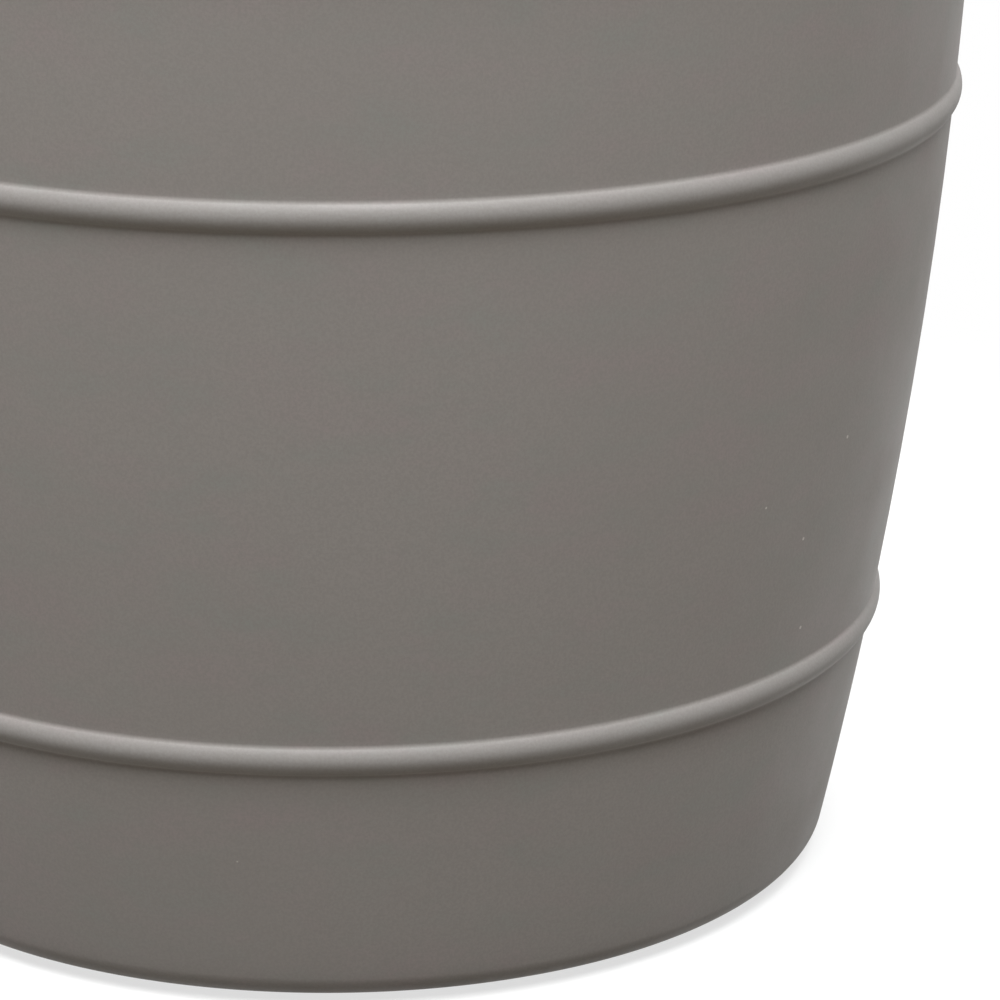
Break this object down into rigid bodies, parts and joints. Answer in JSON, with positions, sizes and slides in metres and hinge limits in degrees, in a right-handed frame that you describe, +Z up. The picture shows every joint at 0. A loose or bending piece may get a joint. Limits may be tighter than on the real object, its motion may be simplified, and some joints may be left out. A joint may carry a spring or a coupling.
{
  "type": "clay planter",
  "caption": "Round, tapering clay floor planter with raised hoops round its wall and a lip at the rim; its floor has a drain hole with a loose screen inside and a rubber plug below.",
  "frame": {"origin": "middle of the planter on the surface that it stands on", "axes": "+Z up along the pot's axis, +X towards the plug's pull tab"},
  "size_m": [0.4048, 0.4048, 0.347],
  "materials": {
    "glazed_clay": "satin warm-grey glaze over fired clay, bare at the foot",
    "screen_plastic": "moulded matt black",
    "plug_rubber": "matt moulded rubber",
    "pad_cork": "pressed cork"
  },
  "bodies": {
    "pot": {"pot_body": "glazed_clay", "foot_pad_1": "pad_cork", "foot_pad_2": "pad_cork", "foot_pad_3": "pad_cork", "foot_pad_4": "pad_cork"},
    "screen": {"drain_screen": "screen_plastic"},
    "plug": {"drain_plug": "plug_rubber"}
  },
  "joints": [
    {"name": "screen_lift", "type": "slide", "parent": "pot", "child": "screen", "axis": [0, 0, 1], "range_m": [0, 0.345]},
    {"name": "plug_pull", "type": "slide", "parent": "pot", "child": "plug", "axis": [0, 0, -1], "range_m": [0, 0.03]}
  ]
}
